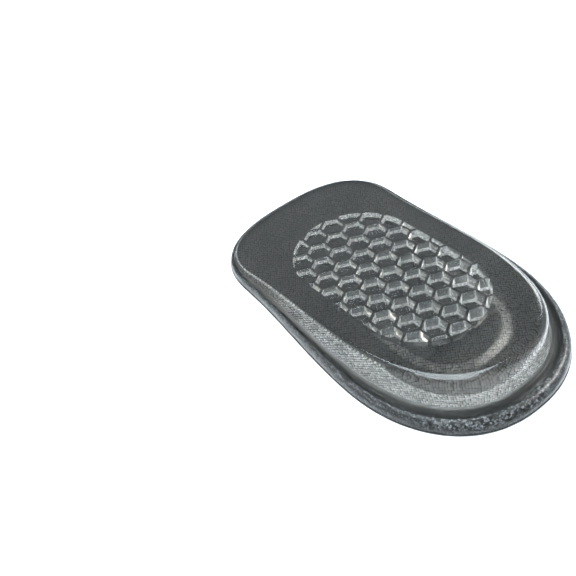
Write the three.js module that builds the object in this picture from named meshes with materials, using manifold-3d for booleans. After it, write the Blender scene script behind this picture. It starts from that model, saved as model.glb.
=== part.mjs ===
// Silicone heel lift: a clear gel wedge with a honeycomb of soft pits in its underside,
// bonded to a knit cover. It lies on its cover with the honeycomb up.
// Millimetres, +Z up, +X towards the heel end, and the origin is in the middle of the base.
// "Along" is the distance from the front end, "inset" the distance in from the outline.

import * as THREE from 'three';
import { mergeVertices } from 'three/addons/utils/BufferGeometryUtils.js';
import Module from 'manifold-3d';

// Outline seen from above
const length = 101.5;
const heelWidth = 62.5;
const frontWidth = 57.2;
const heelRound = 37.2; // length of the rounded heel end
const frontRound = 21.2; // length of the rounded front end
const heelPower = 2.22; // superellipse powers: 2 is an ellipse, more is squarer
const frontPower = 2.58;
const heelSteps = 20; // facets on each half of the outline
const sideSteps = 8;
const frontSteps = 14;

// Wedge
const frontThickness = 2.2;
const heelThickness = 14;
const wedgeSlope = (heelThickness - frontThickness) / length;

// Knit cover and its shallow heel seat
const coverThickness = 0.7;
const bondGap = 0.3; // between the cover and the gel
const seatDepth = 0.7;
const seatLand = 12.5; // flat edge that the cover rests on
const seatLip = 19.5; // inset where the seat reaches its full depth
const seatBegins = 38; // along
const seatIsFull = 66; // along
const seatSteps = 4;

// Gel rim, groove, wall and shoulder
const edgeSetback = 0.2;
const edgeTop = 1.3; // height where the upright edge turns into the rounded rim
const rimSteps = 3;
const groovePlace = 0.6; // share of the way from the rim's crest to the foot of the wall
const shoulderSteps = 3;
const shoulderShare = 0.7; // most of the wall's height that the rounded shoulder may take
// A row for each section: the height of the rim, the inset of its crest, the depth of the groove,
// the insets of the wall's foot and of its shoulder, and the shoulder's radius
const sections = [
  { along: 0, rimTop: 1.9, crest: 0.9, groove: 0.05, foot: 1.1, shoulder: 1.5, round: 0.2 },
  { along: 30, rimTop: 3.0, crest: 0.9, groove: 0.2, foot: 1.5, shoulder: 3.2, round: 0.9 },
  { along: 58, rimTop: 3.5, crest: 1.0, groove: 0.4, foot: 2.4, shoulder: 5.2, round: 1.3 },
  { along: 80, rimTop: 3.6, crest: 1.5, groove: 0.5, foot: 3.8, shoulder: 6.4, round: 2.4 },
  { along: 101.5, rimTop: 3.6, crest: 2.9, groove: 0.5, foot: 5.7, shoulder: 6.5, round: 3.4 },
];

// Honeycomb field in the underside
const cellPitch = 6.55;
const cellWall = 0.75;
const cellTaper = 0.93; // floor width as a share of the mouth
const fieldLength = 62;
const fieldWidth = 36;
const fieldMiddle = 48.2; // along
const cellOnCentreLine = 49.6; // along, the middle of one cell
const pitDepthAtFront = 1; // at the two ends of the field
const pitDepthAtHeel = 3.9;
const edgeCellReach = 0.3 * cellPitch; // how far outside the field a cell's middle may lie
const fieldArcSteps = 24;
const overcut = 1; // how far a cutter stands above the surface that it cuts

const clamp = THREE.MathUtils.clamp;
const lerp = THREE.MathUtils.lerp;
const smoothstep = THREE.MathUtils.smoothstep;

const heelStart = length - heelRound;

function undersideHeight(along) {
  return frontThickness + wedgeSlope * along;
}

// Half of the outline, from the heel tip to the front tip
function halfOutline() {
  const points = [];
  for (let i = 0; i < heelSteps; i++) {
    const angle = (i / heelSteps) * Math.PI / 2;
    points.push({
      along: heelStart + heelRound * Math.cos(angle) ** (2 / heelPower),
      across: (heelWidth / 2) * Math.sin(angle) ** (2 / heelPower),
    });
  }
  for (let i = 0; i < sideSteps; i++) {
    const share = i / sideSteps;
    points.push({
      along: lerp(heelStart, frontRound, share),
      across: lerp(heelWidth, frontWidth, smoothstep(share, 0, 1)) / 2,
    });
  }
  for (let i = 0; i < frontSteps; i++) {
    const angle = (i / frontSteps) * Math.PI / 2;
    points.push({
      along: frontRound - frontRound * Math.sin(angle) ** (2 / frontPower),
      across: (frontWidth / 2) * Math.cos(angle) ** (2 / frontPower),
    });
  }
  points.push({ along: 0, across: 0 });
  return points;
}

// The whole outline, anticlockwise from the heel tip, each station with its way in to the middle line
function outlineStations() {
  const half = halfOutline();
  const mirrored = half.slice(1, -1).reverse().map(({ along, across }) => ({ along, across: -across }));
  return [...half, ...mirrored].map(({ along, across }) => {
    const spine = clamp(along, frontRound, heelStart);
    const reach = Math.hypot(spine - along, across);
    return { along, across, reach, inAlong: (spine - along) / reach, inAcross: -across / reach };
  });
}

const stations = outlineStations();

// Smooth values between the rows of the section table
const columns = Object.keys(sections[0]).filter((name) => name !== 'along');
const sectionCurve = new THREE.CubicInterpolant(
  sections.map((row) => row.along),
  sections.flatMap((row) => columns.map((name) => row[name])),
  columns.length,
);

function sectionAt(along) {
  const values = sectionCurve.evaluate(along);
  return Object.fromEntries(columns.map((name, i) => [name, values[i]]));
}

// One closed ring of points, from functions of the station that give the inset and the height
function ring(insetOf, heightOf) {
  return stations.map((station) => {
    const inset = insetOf(station);
    const along = station.along + inset * station.inAlong;
    const across = station.across + inset * station.inAcross;
    return new THREE.Vector3(along - length / 2, across, heightOf(along, inset, station));
  });
}

// Underneath of the cover: flat at the front and edge, hollowed a little for the heel
function seatHeight(along, inset) {
  return seatDepth * smoothstep(along, seatBegins, seatIsFull) * smoothstep(inset, seatLand, seatLip);
}

// Rings across the seat, from the middle line out to the edge, lifted by a height and set back at the edge
function seatRings(lift, setback) {
  const height = (along, inset) => seatHeight(along, inset) + lift;
  const rings = [ring((station) => station.reach, height)];
  for (let i = seatSteps; i >= 0; i--) {
    rings.push(ring(() => lerp(seatLand, seatLip, i / seatSteps), height));
  }
  rings.push(ring(() => setback, height));
  return rings;
}

// Joins rings that run up the outside and in over the top into one closed skin
function skin(rings, closeTop) {
  const positions = rings.flat().flatMap((point) => [point.x, point.y, point.z]);
  const count = stations.length;
  const triangles = [];
  for (let level = 0; level < rings.length - 1; level++) {
    for (let i = 0; i < count; i++) {
      const next = (i + 1) % count;
      const [a, b] = [level * count + i, level * count + next];
      const [c, d] = [b + count, a + count];
      triangles.push([a, b, c], [a, c, d]);
    }
  }
  if (closeTop) {
    const last = (rings.length - 1) * count;
    const flat = rings.at(-1).map((point) => new THREE.Vector2(point.x, point.y));
    for (const face of THREE.ShapeUtils.triangulateShape(flat, [])) {
      triangles.push(face.map((corner) => last + corner));
    }
  }
  const geometry = new THREE.BufferGeometry();
  geometry.setAttribute('position', new THREE.Float32BufferAttribute(positions, 3));
  geometry.setIndex(triangles.flat());
  return withoutFlatTriangles(mergeVertices(geometry));
}

// Where a ring shrinks to the middle line, neighbouring points merge and leave triangles with no area
function withoutFlatTriangles(geometry) {
  const index = geometry.index.array;
  const kept = [];
  for (let i = 0; i < index.length; i += 3) {
    const [a, b, c] = index.slice(i, i + 3);
    if (a !== b && b !== c && c !== a) kept.push(a, b, c);
  }
  geometry.setIndex(kept);
  return geometry;
}

// The knit cover: a wall of one thickness over the seat
function coverGeometry() {
  const below = seatRings(0, 0);
  const above = seatRings(coverThickness, 0).reverse();
  return skin([...below, ...above], false);
}

// Rings round an elliptical corner, from an upright wall in to the top
function cornerRings({ insetOf, topOf, widthOf, heightOf, steps }) {
  const rings = [];
  for (let i = 0; i <= steps; i++) {
    const angle = (i / steps) * Math.PI / 2;
    rings.push(ring(
      (station) => insetOf(station) + widthOf(station) * (1 - Math.cos(angle)),
      (along, inset, station) => topOf(along, station) - heightOf(station) * (1 - Math.sin(angle)),
    ));
  }
  return rings;
}

// The gel without its pits: base over the cover, rim, groove, wall, shoulder and tilted underside
function wedgeGeometry() {
  const at = (station) => sectionAt(station.along);
  const grooveInset = (station) => lerp(at(station).crest, at(station).foot, groovePlace);
  const grooveHeight = (along, inset, station) => at(station).rimTop - at(station).groove;
  const footHeight = (along, inset, station) => at(station).rimTop;
  const shoulderRound = (station) => {
    const wallHeight = undersideHeight(station.along) - at(station).rimTop;
    return Math.min(at(station).round, shoulderShare * wallHeight);
  };
  const rim = cornerRings({
    insetOf: () => edgeSetback,
    topOf: (along, station) => at(station).rimTop,
    widthOf: (station) => at(station).crest - edgeSetback,
    heightOf: (station) => at(station).rimTop - edgeTop,
    steps: rimSteps,
  });
  const shoulder = cornerRings({
    insetOf: (station) => at(station).shoulder,
    topOf: undersideHeight,
    widthOf: shoulderRound,
    heightOf: shoulderRound,
    steps: shoulderSteps,
  });
  return skin([
    ...seatRings(coverThickness + bondGap, edgeSetback),
    ...rim,
    ring(grooveInset, grooveHeight),
    ring((station) => at(station).foot, footHeight),
    ...shoulder,
  ], true);
}

// Places a shape that is made round the Z axis, with its top on the plane z = 0, on the tilted underside
function ontoUnderside(geometry, along, across) {
  const tilt = Math.atan(wedgeSlope);
  geometry.rotateY(-tilt);
  geometry.translate(along - length / 2, across, undersideHeight(along));
  return geometry;
}

// A tapered six-sided pit cutter with two corners along X, its floor a depth below z = 0
function pitCutter(depth) {
  const mouth = (cellPitch - cellWall) / Math.sqrt(3);
  const floor = mouth * cellTaper;
  const top = mouth + (mouth - floor) * overcut / depth;
  const cutter = new THREE.CylinderGeometry(top, floor, depth + overcut, 6);
  cutter.rotateX(Math.PI / 2);
  cutter.rotateZ(Math.PI / 2);
  cutter.translate(0, 0, (overcut - depth) / 2);
  return cutter;
}

// The round-ended outline that trims the pits at the edge of the field
function fieldCutter() {
  const radius = fieldWidth / 2;
  const straight = fieldLength / 2 - radius;
  const outline = new THREE.Shape();
  outline.absarc(straight, 0, radius, -Math.PI / 2, Math.PI / 2);
  outline.absarc(-straight, 0, radius, Math.PI / 2, 3 * Math.PI / 2);
  const below = pitDepthAtHeel + overcut;
  const cutter = new THREE.ExtrudeGeometry(outline, {
    depth: below + overcut, bevelEnabled: false, curveSegments: fieldArcSteps,
  });
  cutter.translate(0, 0, -below);
  return cutter;
}

// Middles of the cells that reach into the field
function cellMiddles() {
  const columnPitch = cellPitch * Math.sqrt(3) / 2;
  const radius = fieldWidth / 2;
  const straight = fieldLength / 2 - radius;
  const columnCount = Math.ceil(fieldLength / 2 / columnPitch) + 1;
  const rowCount = Math.ceil(fieldWidth / cellPitch) + 1;
  const middles = [];
  for (let column = -columnCount; column <= columnCount; column++) {
    for (let row = -rowCount; row <= rowCount; row++) {
      if ((column + row) % 2 !== 0) continue;
      const along = cellOnCentreLine + column * columnPitch;
      const across = row * cellPitch / 2;
      const offMiddle = along - fieldMiddle;
      const overEnd = offMiddle - clamp(offMiddle, -straight, straight);
      if (Math.hypot(overEnd, across) < radius + edgeCellReach) middles.push({ along, across });
    }
  }
  return middles;
}

const wasm = await Module();
wasm.setup();

function toSolid(geometry) {
  geometry.deleteAttribute('normal');
  geometry.deleteAttribute('uv');
  const merged = mergeVertices(geometry);
  return new wasm.Manifold(new wasm.Mesh({
    numProp: 3,
    vertProperties: new Float32Array(merged.attributes.position.array),
    triVerts: new Uint32Array(merged.index.array),
  }));
}

function toGeometry(solid) {
  const { vertProperties, triVerts } = solid.getMesh();
  const geometry = new THREE.BufferGeometry();
  geometry.setAttribute('position', new THREE.BufferAttribute(vertProperties, 3));
  geometry.setIndex(new THREE.BufferAttribute(triVerts, 1));
  return geometry;
}

// All the pits of the honeycomb as one solid, trimmed to the field
function honeycombSolid() {
  let pits = null;
  for (const { along, across } of cellMiddles()) {
    const share = (along - fieldMiddle) / fieldLength + 0.5;
    const depth = lerp(pitDepthAtFront, pitDepthAtHeel, clamp(share, 0, 1));
    const pit = toSolid(ontoUnderside(pitCutter(depth), along, across));
    pits = pits ? pits.add(pit) : pit;
  }
  return pits.intersect(toSolid(ontoUnderside(fieldCutter(), fieldMiddle, 0)));
}

function piece(name, geometry, material) {
  geometry.computeVertexNormals();
  const mesh = new THREE.Mesh(geometry, material);
  mesh.name = name;
  return mesh;
}

const smokyGel = new THREE.MeshStandardMaterial({
  color: '#8f9493', roughness: 0.15, metalness: 0, transparent: true, opacity: 0.6,
});
const blackKnit = new THREE.MeshStandardMaterial({ color: '#232525', roughness: 0.9, metalness: 0 });

const gelGeometry = toGeometry(toSolid(wedgeGeometry()).subtract(honeycombSolid()));

const heelLift = new THREE.Group();
heelLift.add(piece('gel_body', gelGeometry, smokyGel));
heelLift.add(piece('fabric_cover', coverGeometry(), blackKnit));

export default heelLift;
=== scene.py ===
import math

import bmesh
import bpy
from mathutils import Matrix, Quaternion, Vector


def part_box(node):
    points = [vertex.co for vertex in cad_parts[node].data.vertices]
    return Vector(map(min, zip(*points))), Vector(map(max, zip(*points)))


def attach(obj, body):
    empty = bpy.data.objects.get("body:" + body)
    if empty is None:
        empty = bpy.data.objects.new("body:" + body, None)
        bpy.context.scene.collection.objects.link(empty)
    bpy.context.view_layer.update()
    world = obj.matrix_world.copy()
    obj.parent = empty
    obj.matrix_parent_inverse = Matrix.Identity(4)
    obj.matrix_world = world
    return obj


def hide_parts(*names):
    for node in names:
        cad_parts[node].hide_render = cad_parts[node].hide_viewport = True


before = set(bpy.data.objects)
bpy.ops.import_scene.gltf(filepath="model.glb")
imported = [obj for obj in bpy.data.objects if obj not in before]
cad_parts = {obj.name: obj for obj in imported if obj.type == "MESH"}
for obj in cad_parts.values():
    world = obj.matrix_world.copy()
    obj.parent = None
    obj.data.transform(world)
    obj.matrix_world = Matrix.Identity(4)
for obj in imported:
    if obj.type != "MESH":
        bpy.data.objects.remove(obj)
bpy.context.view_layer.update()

mm = 0.001
mergeDistance = 0.001 * mm
cutTolerance = 0.0001 * mm
coverLow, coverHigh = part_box("fabric_cover")


# Outline of the lift seen from above. "Along" runs from the front tip to the heel tip.
outlineShape = {
    "length": coverHigh.x - coverLow.x,
    "heelWidth": coverHigh.y - coverLow.y,
    "frontWidth": 57.2 * mm,
    "heelRound": 37.2 * mm,  # length of the rounded heel end
    "frontRound": 21.2 * mm,
    "heelPower": 2.22,  # 2 is an ellipse, more is squarer
    "frontPower": 2.58,
    "heelSteps": 56,
    "sideSteps": 20,
    "frontSteps": 36,
}


def mix(a, b, share):
    return a + (b - a) * share


def smoothStep(value, start, end):
    share = min(1, max(0, (value - start) / (end - start)))
    return share * share * (3 - 2 * share)


def bezier(a, b, c, d, share):
    back = 1 - share
    return a * back ** 3 + b * 3 * back * back * share + c * 3 * back * share * share + d * share ** 3


def halfOutline(shape):
    heelStart = shape["length"] - shape["heelRound"]
    points = []
    for i in range(shape["heelSteps"]):
        angle = math.pi / 2 * i / shape["heelSteps"]
        power = 2 / shape["heelPower"]
        along = heelStart + shape["heelRound"] * math.cos(angle) ** power
        points.append((along, shape["heelWidth"] / 2 * math.sin(angle) ** power))
    for i in range(shape["sideSteps"]):
        share = i / shape["sideSteps"]
        width = mix(shape["heelWidth"], shape["frontWidth"], smoothStep(share, 0, 1))
        points.append((mix(heelStart, shape["frontRound"], share), width / 2))
    for i in range(shape["frontSteps"]):
        angle = math.pi / 2 * i / shape["frontSteps"]
        power = 2 / shape["frontPower"]
        along = shape["frontRound"] * (1 - math.sin(angle) ** power)
        points.append((along, shape["frontWidth"] / 2 * math.cos(angle) ** power))
    points.append((0, 0))
    return points


# Every station knows its place on the outline, its way in to the middle line and how far that is
def outlineStations(shape):
    half = halfOutline(shape)
    mirrored = [(along, -across) for along, across in reversed(half[1:-1])]
    stations = []
    for along, across in half + mirrored:
        spine = min(max(along, shape["frontRound"]), shape["length"] - shape["heelRound"])
        wayIn = Vector((spine - along, -across))
        stations.append((Vector((along, across)), wayIn.normalized(), wayIn.length))
    return stations


stations = outlineStations(outlineShape)


def pointOn(station, inset, height):
    spot = station[0] + station[1] * inset
    return Vector((spot.x - outlineShape["length"] / 2, spot.y, height))


def alongAt(station, inset):
    return station[0].x + station[1].x * inset


def outlineArea():
    corners = [station[0] for station in stations]
    pairs = zip(corners, corners[1:] + corners[:1])
    return abs(sum(a.x * b.y - b.x * a.y for a, b in pairs)) / 2


# Modelling helpers
def freshCircle(name):
    bpy.ops.object.select_all(action="DESELECT")
    radius = outlineShape["length"] / 2
    bpy.ops.mesh.primitive_circle_add(vertices=len(stations), radius=radius, fill_type="NOTHING")
    piece = bpy.context.active_object
    piece.name = name
    piece.data.name = name
    return piece


# Starts from a circle laid on the first ring, then extrudes its edge from ring to ring.
# Each band between two rings gets the material of its zone, and each ring its share of air.
def extrudeRings(name, rings, zones, airs):
    piece = freshCircle(name)
    bpy.ops.object.mode_set(mode="EDIT")
    bpy.ops.mesh.select_mode(type="EDGE")
    mesh = bmesh.from_edit_mesh(piece.data)
    tag = mesh.verts.layers.int.new("station")
    air = mesh.verts.layers.float.new("air")
    for i, vert in enumerate(mesh.verts):
        vert[tag] = i
        vert[air] = airs[0]
        vert.co = rings[0][i]
    bpy.ops.mesh.select_all(action="SELECT")
    for ring, band, share in zip(rings[1:], zones, airs[1:]):
        bpy.ops.mesh.extrude_edges_move()
        mesh = bmesh.from_edit_mesh(piece.data)
        tag = mesh.verts.layers.int["station"]
        air = mesh.verts.layers.float["air"]
        for vert in mesh.verts:
            if vert.select:
                vert.co = ring[vert[tag]]
                vert[air] = share
        for edge in mesh.edges:
            if edge.select:
                edge.link_faces[0].material_index = band
    bmesh.update_edit_mesh(piece.data)
    return piece


# Merges the points that meet on the middle line, turns all faces outwards and leaves edit mode
def closeMesh():
    bpy.ops.mesh.select_all(action="SELECT")
    bpy.ops.mesh.remove_doubles(threshold=mergeDistance)
    bpy.ops.mesh.normals_make_consistent(inside=False)
    bpy.ops.object.mode_set(mode="OBJECT")


def applyModifiers(piece):
    bpy.context.view_layer.objects.active = piece
    for modifier in list(piece.modifiers):
        bpy.ops.object.modifier_apply(modifier=modifier.name)


def smoothByAngle(piece, angle):
    bpy.ops.object.select_all(action="DESELECT")
    piece.select_set(True)
    bpy.context.view_layer.objects.active = piece
    bpy.ops.object.shade_smooth_by_angle(angle=math.radians(angle))


# Material helpers
def newMaterial(name):
    material = bpy.data.materials.new(name)
    material.use_nodes = True
    nodes = material.node_tree.nodes
    return material, nodes, material.node_tree.links, nodes["Principled BSDF"]


def bumpNode(nodes, links, shader, height, strength, distance):
    bump = nodes.new("ShaderNodeBump")
    bump.inputs["Strength"].default_value = strength
    bump.inputs["Distance"].default_value = distance
    links.new(height, bump.inputs["Height"])
    links.new(bump.outputs["Normal"], shader.inputs["Normal"])
    return bump


def mapRange(nodes, links, value, fromRange, toRange):
    node = nodes.new("ShaderNodeMapRange")
    node.interpolation_type = "SMOOTHSTEP"
    node.inputs["From Min"].default_value, node.inputs["From Max"].default_value = fromRange
    node.inputs["To Min"].default_value, node.inputs["To Max"].default_value = toRange
    links.new(value, node.inputs["Value"])
    return node.outputs["Result"]


def mathNode(nodes, links, operation, *values):
    node = nodes.new("ShaderNodeMath")
    node.operation = operation
    for i, value in enumerate(values):
        links.new(value, node.inputs[i])
    return node.outputs["Value"]


def colourMix(nodes, links, share, first, second):
    node = nodes.new("ShaderNodeMix")
    node.data_type = "RGBA"
    links.new(share, node.inputs["Factor"])
    for socket, colour in (("A", first), ("B", second)):
        if isinstance(colour, tuple):
            node.inputs[socket].default_value = colour
        else:
            links.new(colour, node.inputs[socket])
    return node.outputs["Result"]


def softNoise(nodes, links, size, detail=2):
    place = nodes.new("ShaderNodeTexCoord")
    noise = nodes.new("ShaderNodeTexNoise")
    noise.inputs["Scale"].default_value = 1 / size
    noise.inputs["Detail"].default_value = detail
    links.new(place.outputs["Object"], noise.inputs["Vector"])
    return noise.outputs["Fac"]


# A random value for each cell of a Voronoi texture
def randomOf(nodes, links, cells, channelName):
    channel = nodes.new("ShaderNodeSeparateColor")
    links.new(cells.outputs["Color"], channel.inputs["Color"])
    return channel.outputs[channelName]


# The knit's stitches as a slightly uneven square lattice
knitWeave = {
    "stitch": (0.58 * mm, 0.8 * mm),
    "grain": 51.5,  # degrees between the rows of stitches and the lift's length
    "jitter": 0.3,
    "squareness": 4,
    "bumpHeight": 0.2 * mm,
}


def knitStitches(nodes, links):
    place = nodes.new("ShaderNodeTexCoord")
    grain = nodes.new("ShaderNodeMapping")
    grain.vector_type = "TEXTURE"
    grain.inputs["Rotation"].default_value[2] = math.radians(knitWeave["grain"])
    grain.inputs["Scale"].default_value = (*knitWeave["stitch"], 1)
    stitch = nodes.new("ShaderNodeTexVoronoi")
    stitch.voronoi_dimensions = "2D"
    stitch.distance = "MINKOWSKI"
    stitch.inputs["Exponent"].default_value = knitWeave["squareness"]
    stitch.inputs["Scale"].default_value = 1
    stitch.inputs["Randomness"].default_value = knitWeave["jitter"]
    links.new(place.outputs["Object"], grain.inputs["Vector"])
    links.new(grain.outputs["Vector"], stitch.inputs["Vector"])
    return stitch


# Clear gel of the wall, of the flat underside and of the pit floors
clearGel = {
    "colour": (0.93, 0.955, 0.95, 1),
    "roughness": 0.07,
    "ior": 1.41,
    "waveSize": 5 * mm,
    "waveStrength": 0.02,
    "waveHeight": 1 * mm,
}


def gelShader(name, roughness):
    material, nodes, links, shader = newMaterial(name)
    shader.inputs["Base Color"].default_value = clearGel["colour"]
    shader.inputs["Roughness"].default_value = roughness
    shader.inputs["IOR"].default_value = clearGel["ior"]
    shader.inputs["Transmission Weight"].default_value = 1
    return material, nodes, links, shader


def makeClearGel(name):
    material, nodes, links, shader = gelShader(name, clearGel["roughness"])
    wave = softNoise(nodes, links, clearGel["waveSize"])
    bumpNode(nodes, links, shader, wave, clearGel["waveStrength"], clearGel["waveHeight"])
    return material, shader


# Shoulder, whose gloss comes from a softer skin over clear gel
shoulderGel = {
    "specular": (0.1, 0.1, 0.1, 1),
    "skinRoughness": 0.2,
}


def makeShoulderGel():
    material, shader = makeClearGel("shoulderGel")
    shader.inputs["Specular Tint"].default_value = shoulderGel["specular"]
    shader.inputs["Coat Weight"].default_value = 1
    shader.inputs["Coat Roughness"].default_value = shoulderGel["skinRoughness"]
    shader.inputs["Coat IOR"].default_value = clearGel["ior"]
    return material


# Groove, softer in gloss than the wall, and tinted darker than the clear gel as painted shade in the
# groove
grooveGelWithPaintedShade = {
    # painted shade: this darker tint makes the groove read as shaded
    "colour": (0.75, 0.79, 0.8, 1),
    "roughness": 0.28,
    "specular": (0.08, 0.08, 0.08, 1),
}


def makeGrooveGel(name):
    material, nodes, links, shader = gelShader(name, grooveGelWithPaintedShade["roughness"])
    shader.inputs["Base Color"].default_value = grooveGelWithPaintedShade["colour"]
    shader.inputs["Specular Tint"].default_value = grooveGelWithPaintedShade["specular"]
    return material, nodes, links, shader


# Rim, like the groove but speckled: dark specks of a darker tint, and bright specks that are painted
# glints
rimGelWithPaintedGlints = {
    "speck": 0.34 * mm,
    "paintedGlint": (0.4, 1),  # random values between which a speck goes from dark to a painted glint
    "dark": (0.4, 0.44, 0.46, 1),
    # painted glint: a white speck standing in for a highlight
    "paintedGlintColour": (0.93, 0.97, 1, 1),
    "clear": (1, 0.9),  # of dark specks and of the painted glints
    "specular": (0.22, 0.22, 0.22, 1),
    "sheen": 0.5,
    "sheenRoughness": 0.3,
}


def makeRimGel():
    material, nodes, links, shader = makeGrooveGel("rimGelWithPaintedGlints")
    shader.inputs["Specular Tint"].default_value = rimGelWithPaintedGlints["specular"]
    place = nodes.new("ShaderNodeTexCoord")
    speck = nodes.new("ShaderNodeTexVoronoi")
    speck.inputs["Scale"].default_value = 1 / rimGelWithPaintedGlints["speck"]
    links.new(place.outputs["Object"], speck.inputs["Vector"])
    # The bright specks are painted glints, white and less clear, standing in for highlights
    paintedGlint = mapRange(nodes, links, randomOf(nodes, links, speck, "Green"), rimGelWithPaintedGlints["paintedGlint"], (0, 1))
    tint = colourMix(nodes, links, paintedGlint, rimGelWithPaintedGlints["dark"], rimGelWithPaintedGlints["paintedGlintColour"])
    links.new(tint, shader.inputs["Base Color"])
    clear = mapRange(nodes, links, paintedGlint, (0, 1), rimGelWithPaintedGlints["clear"])
    links.new(clear, shader.inputs["Transmission Weight"])
    shader.inputs["Sheen Weight"].default_value = rimGelWithPaintedGlints["sheen"]
    shader.inputs["Sheen Roughness"].default_value = rimGelWithPaintedGlints["sheenRoughness"]
    return material


pitWallGel = {
    "roughness": 0.12,
    "clear": 0.96,  # the rest is a milky surface
    "waveSize": 1.5 * mm,
    "waveStrength": 0.03,
}


def makePitWallGel():
    material, nodes, links, shader = gelShader("pitWallGel", pitWallGel["roughness"])
    shader.inputs["Transmission Weight"].default_value = pitWallGel["clear"]
    wave = softNoise(nodes, links, pitWallGel["waveSize"])
    bumpNode(nodes, links, shader, wave, pitWallGel["waveStrength"], clearGel["waveHeight"])
    return material


# Face of the gel that is bonded to the knit: dark yarn, with air pockets that mirror light at a slant
bondedGel = {
    "yarn": (0.034, 0.036, 0.036, 1),
    "seam": (0.002, 0.003, 0.003, 1),
    "thread": (0.3, 0.55),  # from the yarn in a stitch to the seam round it, as shares of the stitch
    "air": (0.92, 0.93, 0.92, 1),
    "pocket": (0.4, 0.54),  # edge of the air pocket in a stitch
    "slantIor": 1.46,  # sets the slant from which the pockets mirror all light
    "lustre": (0.16, 0.03),  # least mirror on the seat's slope and on the flat
    "slopes": (13, 5),  # degrees of tilt for these two
    "stitchMirror": (0.5, 1),  # weakest and strongest mirror of a stitch
    "patchSize": 7 * mm,
    "patchEdge": (0.4, 0.6),  # noise values between a weak patch and a strong one
    "patchMirror": (0.7, 1),
    "gloss": 0.15,
    "roughness": 0.28,
    "bump": 0.15,
}


def knitThread(nodes, links, stitch):
    seam = mapRange(nodes, links, stitch.outputs["Distance"], bondedGel["thread"], (0, 1))
    return colourMix(nodes, links, seam, bondedGel["yarn"], bondedGel["seam"])


# One on a level face, less on a sloped one
def levelness(nodes, links):
    face = nodes.new("ShaderNodeNewGeometry")
    split = nodes.new("ShaderNodeSeparateXYZ")
    links.new(face.outputs["True Normal"], split.inputs["Vector"])
    return mathNode(nodes, links, "ABSOLUTE", split.outputs["Z"])


def makeBondedGel():
    material, nodes, links, shader = newMaterial("bondedGel")
    stitch = knitStitches(nodes, links)
    fromMiddle = stitch.outputs["Distance"]
    pocket = mapRange(nodes, links, fromMiddle, bondedGel["pocket"], (1, 0))
    bump = bumpNode(nodes, links, shader, fromMiddle, bondedGel["bump"], knitWeave["bumpHeight"])
    slant = nodes.new("ShaderNodeFresnel")
    slant.inputs["IOR"].default_value = bondedGel["slantIor"]
    links.new(bump.outputs["Normal"], slant.inputs["Normal"])
    stitchValue = randomOf(nodes, links, stitch, "Red")
    stitchMirror = mapRange(nodes, links, stitchValue, (0, 1), bondedGel["stitchMirror"])
    patch = softNoise(nodes, links, bondedGel["patchSize"])
    patchMirror = mapRange(nodes, links, patch, bondedGel["patchEdge"], bondedGel["patchMirror"])
    levels = [math.cos(math.radians(tilt)) for tilt in bondedGel["slopes"]]
    lustre = mapRange(nodes, links, levelness(nodes, links), levels, bondedGel["lustre"])
    steep = mathNode(nodes, links, "MAXIMUM", slant.outputs["Fac"], lustre)
    air = nodes.new("ShaderNodeAttribute")
    air.attribute_name = "air"
    mirror = mathNode(nodes, links, "MULTIPLY", pocket, steep)
    for share in (stitchMirror, patchMirror, air.outputs["Fac"]):
        mirror = mathNode(nodes, links, "MULTIPLY", mirror, share)
    thread = knitThread(nodes, links, stitch)
    tint = colourMix(nodes, links, mirror, thread, bondedGel["air"])
    links.new(tint, shader.inputs["Base Color"])
    links.new(mirror, shader.inputs["Metallic"])
    shader.inputs["Roughness"].default_value = bondedGel["roughness"]
    shader.inputs["Specular IOR Level"].default_value = bondedGel["gloss"]
    return material


blackKnit = {
    "yarn": (0.009, 0.0095, 0.0095, 1),
    "shade": (0.004, 0.004, 0.004, 1),
    "roughness": 0.85,
    "bump": 0.6,
    "sheen": 0.2,
}


def makeBlackKnit():
    material, nodes, links, shader = newMaterial("blackKnit")
    stitch = knitStitches(nodes, links)
    fromMiddle = stitch.outputs["Distance"]
    tint = colourMix(nodes, links, fromMiddle, blackKnit["yarn"], blackKnit["shade"])
    links.new(tint, shader.inputs["Base Color"])
    bump = bumpNode(nodes, links, shader, fromMiddle, blackKnit["bump"], knitWeave["bumpHeight"])
    bump.invert = True
    shader.inputs["Roughness"].default_value = blackKnit["roughness"]
    shader.inputs["Sheen Weight"].default_value = blackKnit["sheen"]
    return material


# Material slots of the gel, by the zone of its surface
zone = {"clear": 0, "rim": 1, "bonded": 2, "pitWall": 3, "shoulder": 4, "groove": 5}
gelMaterials = [
    makeClearGel("clearGel")[0],
    makeRimGel(),
    makeBondedGel(),
    makePitWallGel(),
    makeShoulderGel(),
    makeGrooveGel("grooveGelWithPaintedShade")[0],
]
print("materials done")


# Shallow heel seat that both the cover and the gel follow
seat = {
    "depth": 0.7 * mm,
    "land": 14 * mm,  # flat edge that the cover rests on
    "lip": 18.2 * mm,  # inset where the seat is at its full depth
    "begins": 38 * mm,
    "isFull": 66 * mm,
    "steps": 12,
    "floorRings": (0.35, 0.7, 1),  # shares of the way from the lip to the middle line
}


def seatHeight(along, inset):
    lengthwise = smoothStep(along, seat["begins"], seat["isFull"])
    return seat["depth"] * lengthwise * smoothStep(inset, seat["land"], seat["lip"])


# Rings from the edge in to the middle line, following the seat
def seatRings(lift, setback):
    rows = []
    for station in stations:
        pressed = pressedInset(station)
        insets = [setback, pressed, pressed + gelBody["pressedBlend"]]
        insets += [mix(seat["land"], seat["lip"], i / seat["steps"]) for i in range(seat["steps"] + 1)]
        insets += [mix(seat["lip"], station[2], share) for share in seat["floorRings"]]
        row = []
        for inset in insets:
            row.append(pointOn(station, inset, lift + seatHeight(alongAt(station, inset), inset)))
        rows.append(row)
    return [list(ring) for ring in zip(*rows)]


# Knit cover: one sheet over the seat, given its thickness and a soft cut edge
knitCover = {
    "thickness": 0.7 * mm,
    "edgeRound": 0.25 * mm,
    "edgeSteps": 3,
    "edgeAngle": 60,  # edges sharper than this are rounded
    "smoothAngle": 40,
}
coverTop = coverLow.z + knitCover["thickness"]


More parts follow.
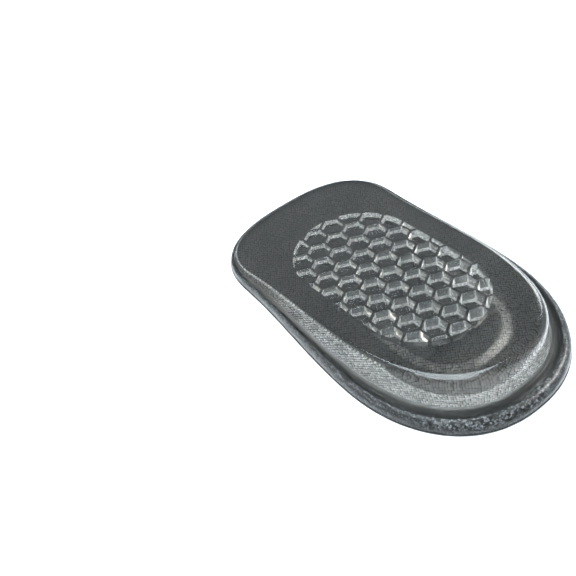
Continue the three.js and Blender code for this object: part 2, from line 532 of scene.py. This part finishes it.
def makeKnitCover():
    rings = seatRings(coverTop, 0)
    piece = extrudeRings("knitCover", rings, [0] * (len(rings) - 1), [0] * len(rings))
    closeMesh()
    if piece.data.polygons[0].normal.z < 0:
        piece.data.flip_normals()
    wall = piece.modifiers.new("thickness", "SOLIDIFY")
    wall.thickness = knitCover["thickness"]
    wall.offset = -1
    rim = piece.modifiers.new("cutEdge", "BEVEL")
    rim.width = knitCover["edgeRound"]
    rim.segments = knitCover["edgeSteps"]
    rim.limit_method = "ANGLE"
    rim.angle_limit = math.radians(knitCover["edgeAngle"])
    applyModifiers(piece)
    piece.data.materials.append(makeBlackKnit())
    return piece


# Gel body: wedge with a rim, groove, sloped wall, rounded shoulder and a tilted flat underside
gelBody = {
    "frontThickness": 2.2 * mm,
    "heelThickness": 14 * mm,
    "bondGap": 0.02 * mm,
    "edgeSetback": 0.2 * mm,
    "edgeWall": 0.6 * mm,  # upright part of the rim's edge, below its rounding
    "pressedShare": 0.5,  # of the crest's inset, for the pressed edge of the knit
    "pressedEdge": 1.4 * mm,
    "pressedBlend": 1.6 * mm,
    "groovePlace": 0.6,  # of the way from the crest to the wall's foot
    "footBlend": 0.8 * mm,
    "footShare": 0.4,  # most of the wall's length that the blend at its foot takes
    "footPull": 0.7,  # reach of the curve's handles there, as a share
    "shoulderShare": 0.7,  # most of the wall's height that the shoulder takes
    "shoulderPull": 0.6,  # reach of its curve's handles, as a share of its radius
    "supportInset": 0.4 * mm,
    "rimSteps": 10,
    "grooveSteps": 5,
    "footSteps": 7,
    "wallSteps": 5,
    "shoulderSteps": 10,
    "smoothAngle": 24,
    # rows: along, rim top, rim crest, groove depth, foot, shoulder, shoulder radius, all in mm
    "sections": [
        (0, 1.9, 0.9, 0.05, 1.1, 1.5, 0.2),
        (30, 3.0, 0.9, 0.2, 1.5, 3.2, 0.9),
        (58, 3.5, 1.3, 0.4, 3, 5.2, 1.3),
        (80, 3.6, 1.9, 0.5, 4.4, 6.6, 2.2),
        (101.5, 3.6, 2.9, 0.5, 5.7, 6.8, 3),
    ],
}
wedgeSlope = (gelBody["heelThickness"] - gelBody["frontThickness"]) / outlineShape["length"]


def undersideHeight(along):
    return gelBody["frontThickness"] + wedgeSlope * along


# Smooth values between the rows of the section table
def sectionAt(along):
    rows = gelBody["sections"]
    spot = min(max(along / mm, rows[0][0]), rows[-1][0])
    at = max(i for i in range(len(rows) - 1) if rows[i][0] <= spot)
    width = rows[at + 1][0] - rows[at][0]
    share = (spot - rows[at][0]) / width

    def slopeOf(i, column):
        low, high = max(i - 1, 0), min(i + 1, len(rows) - 1)
        return (rows[high][column] - rows[low][column]) / (rows[high][0] - rows[low][0]) * width

    values = []
    for column in range(1, len(rows[0])):
        start, end = rows[at][column], rows[at + 1][column]
        a, b = slopeOf(at, column), slopeOf(at + 1, column)
        values.append(bezier(start, start + a / 3, end - b / 3, end, share) * mm)
    return values


# Inset up to which the edge of the knit is pressed into the gel
def pressedInset(station):
    return sectionAt(station[0].x)[1] * gelBody["pressedShare"] + gelBody["pressedEdge"]


# Points of a curve after its start
def curve(start, startHandle, endHandle, end, steps):
    handles = (start + startHandle, end - endHandle)
    return [bezier(start, *handles, end, i / steps) for i in range(1, steps + 1)]


# One section of the gel from its lower edge up, over the rim and in to the underside
def gelSection(station):
    rimTop, crest, groove, foot, shoulder, shoulderRound = sectionAt(station[0].x)
    setback = gelBody["edgeSetback"]
    wallHeight = undersideHeight(station[0].x) - rimTop
    radius = min(shoulderRound, gelBody["shoulderShare"] * wallHeight)
    edgeTop = coverTop + gelBody["edgeWall"]
    section = []
    for i in range(gelBody["rimSteps"] + 1):
        angle = math.pi / 2 * i / gelBody["rimSteps"]
        inset = mix(crest, setback, math.cos(angle))
        section.append(Vector((inset, mix(edgeTop, rimTop, math.sin(angle)))))
    grooveInset = mix(crest, foot, gelBody["groovePlace"])
    valley = Vector((grooveInset, rimTop - groove))
    handle = Vector(((grooveInset - crest) / 2, 0))
    section += curve(section[-1], handle, handle, valley, gelBody["grooveSteps"])
    footPoint = Vector((foot, rimTop))
    wallTop = Vector((shoulder, undersideHeight(alongAt(station, shoulder)) - radius))
    wallWay = (wallTop - footPoint).normalized()
    blend = min(gelBody["footBlend"], gelBody["footShare"] * (wallTop - footPoint).length)
    wallStart = footPoint + wallWay * blend
    pull = gelBody["footPull"]
    handle = Vector(((foot - grooveInset) * pull, 0))
    section += curve(valley, handle, wallWay * blend * pull, wallStart, gelBody["footSteps"])
    wallSteps = gelBody["wallSteps"]
    section += [wallStart.lerp(wallTop, i / wallSteps) for i in range(1, wallSteps + 1)]
    topInset = shoulder + radius
    topPoint = Vector((topInset, undersideHeight(alongAt(station, topInset))))
    topWay = Vector((1, wedgeSlope * station[1].x)).normalized()
    reach = radius * gelBody["shoulderPull"]
    section += curve(wallTop, wallWay * reach, topWay * reach, topPoint, gelBody["shoulderSteps"])
    section.append(topPoint + topWay * gelBody["supportInset"])
    return section


# Rings over the rim, groove, wall and shoulder
def sideRings():
    rows = []
    for station in stations:
        rows.append([pointOn(station, point.x, point.y) for point in gelSection(station)])
    return [list(ring) for ring in zip(*rows)]


def makeGelBody():
    base = list(reversed(seatRings(coverTop + gelBody["bondGap"], gelBody["edgeSetback"])))
    sides = sideRings()
    zones = [zone["bonded"]] * (len(base) - 1)
    zones += [zone["rim"]] * (gelBody["rimSteps"] + 1)
    zones += [zone["groove"]] * (gelBody["grooveSteps"] + gelBody["footSteps"])
    zones += [zone["clear"]] * gelBody["wallSteps"]
    zones += [zone["shoulder"]] * gelBody["shoulderSteps"]
    zones += [zone["clear"]]
    airs = [1] * (len(base) - 2) + [0] * (len(sides) + 2)  # none in the pressed edge
    piece = extrudeRings("gelBody", base + sides, zones, airs)
    bpy.ops.mesh.edge_face_add()  # closes the flat underside
    closeMesh()
    for material in gelMaterials:
        piece.data.materials.append(material)
    return piece


# Honeycomb field: hexagons trimmed to a round-ended field, then stepped down into soft pits
honeycomb = {
    "pitch": 6.55 * mm,
    "wall": 0.75 * mm,
    "turn": 30,  # degrees, so that flat sides face across the lift
    "taper": 0.93,
    "fieldLength": 62 * mm,
    "fieldWidth": 36 * mm,
    "fieldMiddle": 48.2 * mm,
    "cellOnCentreLine": 49.6 * mm,
    "depthAtFront": 1 * mm,
    "depthAtHeel": 3.9 * mm,
    "edgeReach": 0.3,  # of a pitch, for the cells that the field's edge trims
    "lip": 0.06 * mm,
    "floorRound": 0.1 * mm,
    "roundSteps": 3,
    "roomShare": 0.75,  # most of a small cell's room that its lip, taper and floor edge take
    "overcut": 1 * mm,
    "arcPlanes": 24,
    "smallestCell": 1.2 * mm ** 2,
    "wallSteepness": 0.7,  # a face whose normal rises less than this is a wall
}
fieldRadius = honeycomb["fieldWidth"] / 2
fieldStraight = honeycomb["fieldLength"] / 2 - fieldRadius


def cellMiddles():
    columnPitch = honeycomb["pitch"] * math.sqrt(3) / 2
    columnCount = math.ceil(honeycomb["fieldLength"] / 2 / columnPitch) + 1
    rowCount = math.ceil(honeycomb["fieldWidth"] / honeycomb["pitch"]) + 1
    reach = fieldRadius + honeycomb["edgeReach"] * honeycomb["pitch"]
    middles = []
    for column in range(-columnCount, columnCount + 1):
        for row in range(-rowCount, rowCount + 1):
            if (column + row) % 2:
                continue
            along = honeycomb["cellOnCentreLine"] + column * columnPitch
            across = row * honeycomb["pitch"] / 2
            off = along - honeycomb["fieldMiddle"]
            overEnd = off - min(max(off, -fieldStraight), fieldStraight)
            if math.hypot(overEnd, across) < reach:
                middles.append((off, across))
    return middles


def trimToField():
    planes = []
    for end in (-1, 1):
        for i in range(honeycomb["arcPlanes"] + 1):
            angle = math.pi * (i / honeycomb["arcPlanes"] - 0.5)
            way = Vector((end * math.cos(angle), math.sin(angle), 0))
            planes.append((Vector((end * fieldStraight, 0, 0)) + way * fieldRadius, way))
    for place, way in planes:
        bpy.ops.mesh.select_all(action="SELECT")
        bpy.ops.mesh.bisect(plane_co=place, plane_no=way, clear_outer=True, threshold=cutTolerance)


# Steps one face down into a pit, as inset and depth: rounded lip, tapered wall, rounded floor edge
def pitSteps(depth, room):
    narrowing = (honeycomb["pitch"] - honeycomb["wall"]) / 2 * (1 - honeycomb["taper"])
    wanted = honeycomb["lip"] + narrowing + honeycomb["floorRound"]
    squeeze = min(1, honeycomb["roomShare"] * room / wanted)
    lip = honeycomb["lip"] * squeeze
    floorRound = honeycomb["floorRound"] * squeeze
    quarter = []
    for i in range(honeycomb["roundSteps"] + 1):
        angle = math.pi / 2 * i / honeycomb["roundSteps"]
        quarter.append((math.sin(angle), 1 - math.cos(angle)))
    steps = [(0, honeycomb["overcut"])]
    for before, after in zip(quarter, quarter[1:]):
        steps.append((lip * (after[0] - before[0]), lip * (after[1] - before[1])))
    steps.append((narrowing * squeeze, depth - lip - floorRound))
    quarter.reverse()
    for before, after in zip(quarter, quarter[1:]):
        steps.append((floorRound * (before[1] - after[1]), floorRound * (before[0] - after[0])))
    return steps


# Flat hexagons over the whole field, left in edit mode
def layHexagons(tilt):
    bpy.ops.object.select_all(action="DESELECT")
    mouth = (honeycomb["pitch"] - honeycomb["wall"] + honeycomb["lip"] * 2) / math.sqrt(3)
    turn = math.radians(honeycomb["turn"])
    bpy.ops.mesh.primitive_plane_add(size=honeycomb["pitch"])
    cutter = bpy.context.active_object
    bpy.ops.object.mode_set(mode="EDIT")
    bpy.ops.mesh.select_mode(type="FACE")
    bpy.ops.mesh.delete(type="FACE")
    for off, across in cellMiddles():
        bpy.ops.mesh.primitive_circle_add(
            vertices=6,
            radius=mouth,
            fill_type="NGON",
            location=(off / math.cos(tilt), across, 0),
            rotation=(0, 0, turn),
        )
    trimToField()
    return cutter


# Turns every hexagon into a closed plug with the shape of its pit
def sinkPits(cutter, tilt):
    mesh = bmesh.from_edit_mesh(cutter.data)
    for vert in mesh.verts:
        vert.co.z = honeycomb["overcut"]
    tag = mesh.faces.layers.int.new("cell")
    cells = []
    for i, face in enumerate(mesh.faces):
        if face.normal.z > 0:
            face.normal_flip()
        face[tag] = i
        share = face.calc_center_median().x * math.cos(tilt) / honeycomb["fieldLength"] + 0.5
        depth = mix(honeycomb["depthAtFront"], honeycomb["depthAtHeel"], min(1, max(0, share)))
        cells.append((face.calc_area(), depth, 2 * face.calc_area() / face.calc_perimeter()))
    bmesh.update_edit_mesh(cutter.data)
    for i, (area, depth, room) in enumerate(cells):
        bpy.ops.mesh.select_all(action="DESELECT")
        mesh = bmesh.from_edit_mesh(cutter.data)
        tag = mesh.faces.layers.int["cell"]
        face = next(face for face in mesh.faces if face[tag] == i)
        face.select_set(True)
        bmesh.update_edit_mesh(cutter.data)
        if area < honeycomb["smallestCell"]:
            bpy.ops.mesh.delete(type="FACE")
            continue
        for inset, down in pitSteps(depth, room):
            bpy.ops.mesh.inset(thickness=inset, depth=down)
    bpy.ops.mesh.select_all(action="SELECT")
    bpy.ops.mesh.select_mode(type="EDGE")
    bpy.ops.mesh.fill_holes(sides=0)  # closes the tops of the plugs
    bpy.ops.mesh.select_all(action="SELECT")
    bpy.ops.mesh.normals_make_consistent(inside=False)
    bpy.ops.object.mode_set(mode="OBJECT")


def makePitCutter():
    tilt = math.atan(wedgeSlope)
    cutter = layHexagons(tilt)
    sinkPits(cutter, tilt)
    for face in cutter.data.polygons:
        isWall = abs(face.normal.z) < honeycomb["wallSteepness"]
        face.material_index = zone["pitWall"] if isWall else zone["clear"]
    middle = honeycomb["fieldMiddle"]
    cutter.rotation_euler = (0, -tilt, 0)
    cutter.location = (middle - outlineShape["length"] / 2, 0, undersideHeight(middle))
    bpy.ops.object.transform_apply(location=True, rotation=True, scale=True)
    return cutter


def cutHoneycomb(piece):
    cutter = makePitCutter()
    cut = piece.modifiers.new("honeycomb", "BOOLEAN")
    cut.operation = "DIFFERENCE"
    cut.solver = "EXACT"
    cut.object = cutter
    applyModifiers(piece)
    bpy.data.objects.remove(cutter)


gel = makeGelBody()
cutHoneycomb(gel)
smoothByAngle(gel, gelBody["smoothAngle"])
print("gel body", len(gel.data.polygons), "faces")

cover = makeKnitCover()
smoothByAngle(cover, knitCover["smoothAngle"])
print("knit cover", len(cover.data.polygons), "faces")

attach(gel, "root")
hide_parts("gel_body")
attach(cover, "root")
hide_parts("fabric_cover")
outlineArea()


# Floor and room, with bright walls and a dim ceiling
studio = {
    "floorSize": 3,
    "floorColour": (0.55, 0.55, 0.55, 1),
    "floorRoughness": 0.9,
    "worldColour": (0.9, 0.95, 1, 1),
    "wallsAndCeiling": (0.76, 0.12),  # brightness of the room
    "ceilingStarts": (0.58, 0.78),  # sines of the elevations between which it darkens
}


def makeFloor():
    bpy.ops.object.select_all(action="DESELECT")
    bpy.ops.mesh.primitive_plane_add(size=studio["floorSize"])
    floor = bpy.context.active_object
    floor.name = "floor"
    material, nodes, links, shader = newMaterial("paleFloor")
    shader.inputs["Base Color"].default_value = studio["floorColour"]
    shader.inputs["Roughness"].default_value = studio["floorRoughness"]
    floor.data.materials.append(material)


def makeWorld():
    world = bpy.data.worlds.new("studio")
    world.use_nodes = True
    nodes, links = world.node_tree.nodes, world.node_tree.links
    background = nodes["Background"]
    background.inputs["Color"].default_value = studio["worldColour"]
    way = nodes.new("ShaderNodeTexCoord")
    split = nodes.new("ShaderNodeSeparateXYZ")
    links.new(way.outputs["Generated"], split.inputs["Vector"])
    height = split.outputs["Z"]
    strength = mapRange(nodes, links, height, studio["ceilingStarts"], studio["wallsAndCeiling"])
    links.new(strength, background.inputs["Strength"])
    bpy.context.scene.world = world


# Softboxes, aimed at the lift. "hiddenFrom" are the rays that don't see one: without glossy it
# gives no highlight, without diffuse it doesn't brighten the floor and the rim's specks, and
# without transmission it doesn't light the inside of the gel.
softboxes = {
    "ceilingPanel": {
        "place": (0, 0, 1.5),
        "size": (2, 2),
        "power": 30,
        "colour": (0.97, 0.99, 1),
        "roll": 0,
        "hiddenFrom": ("glossy", "transmission"),
    },
    "topSoftbox": {
        "place": (-0.014, -0.106, 0.6),
        "size": (0.9, 0.47),
        "power": 15.5,
        "colour": (0.84, 0.94, 1),
        "roll": -37.5,
        "hiddenFrom": ("transmission",),
    },
    "leftFill": {
        "place": (-0.3, -0.72, 0.35),
        "size": (0.6, 0.4),
        "power": 4,
        "colour": (1, 0.9, 0.78),
        "roll": 0,
        "hiddenFrom": ("glossy", "diffuse"),
    },
    "backStrip": {
        "place": (0.22, 0.47, 0.47),
        "size": (0.14, 0.38),
        "power": 11,
        "colour": (1, 0.96, 0.91),
        "roll": 28,
        "hiddenFrom": ("glossy", "diffuse"),
    },
    "backPanel": {
        "place": (-0.3, 0.62, 0.3),
        "size": (0.35, 0.3),
        "power": 3,
        "colour": (0.92, 0.97, 1),
        "roll": 0,
        "hiddenFrom": ("transmission", "diffuse"),
    },
}


# Turns a light or the camera to look along a direction, rolled about it, and adds it to the scene
def lookAlong(item, way, roll):
    item.rotation_mode = "QUATERNION"
    turn = Quaternion((0, 0, 1), math.radians(roll))
    item.rotation_quaternion = way.to_track_quat("-Z", "Y") @ turn
    bpy.context.scene.collection.objects.link(item)


def makeSoftbox(name, box):
    light = bpy.data.lights.new(name, "AREA")
    light.shape = "RECTANGLE"
    light.size, light.size_y = box["size"]
    light.energy = box["power"]
    light.color = box["colour"]
    item = bpy.data.objects.new(name, light)
    item.location = box["place"]
    lookAlong(item, -Vector(box["place"]), box["roll"])
    item.visible_glossy = "glossy" not in box["hiddenFrom"]
    item.visible_diffuse = "diffuse" not in box["hiddenFrom"]
    item.visible_transmission = "transmission" not in box["hiddenFrom"]


camera = {
    "aim": Vector((-22.8, -19.4, 0)) * mm,
    "heading": 57.3,
    "elevation": 46.0,
    "roll": -8.1,
    "distance": 238.3 * mm,
    "lens": 52.8,
    "sensor": 36,
    "clipStart": 10 * mm,
}


def makeCamera():
    heading = math.radians(camera["heading"])
    elevation = math.radians(camera["elevation"])
    level = Vector((math.sin(heading), -math.cos(heading), 0))
    back = level * math.cos(elevation) + Vector((0, 0, math.sin(elevation)))
    data = bpy.data.cameras.new("photoCamera")
    data.lens = camera["lens"]
    data.sensor_width = camera["sensor"]
    data.clip_start = camera["clipStart"]
    item = bpy.data.objects.new("photoCamera", data)
    item.location = camera["aim"] + back * camera["distance"]
    lookAlong(item, -back, camera["roll"])
    bpy.context.scene.camera = item


makeWorld()
makeFloor()
for name, box in softboxes.items():
    makeSoftbox(name, box)
makeCamera()
bpy.context.scene.view_settings.view_transform = "Standard"
print("floor, lights and camera done")
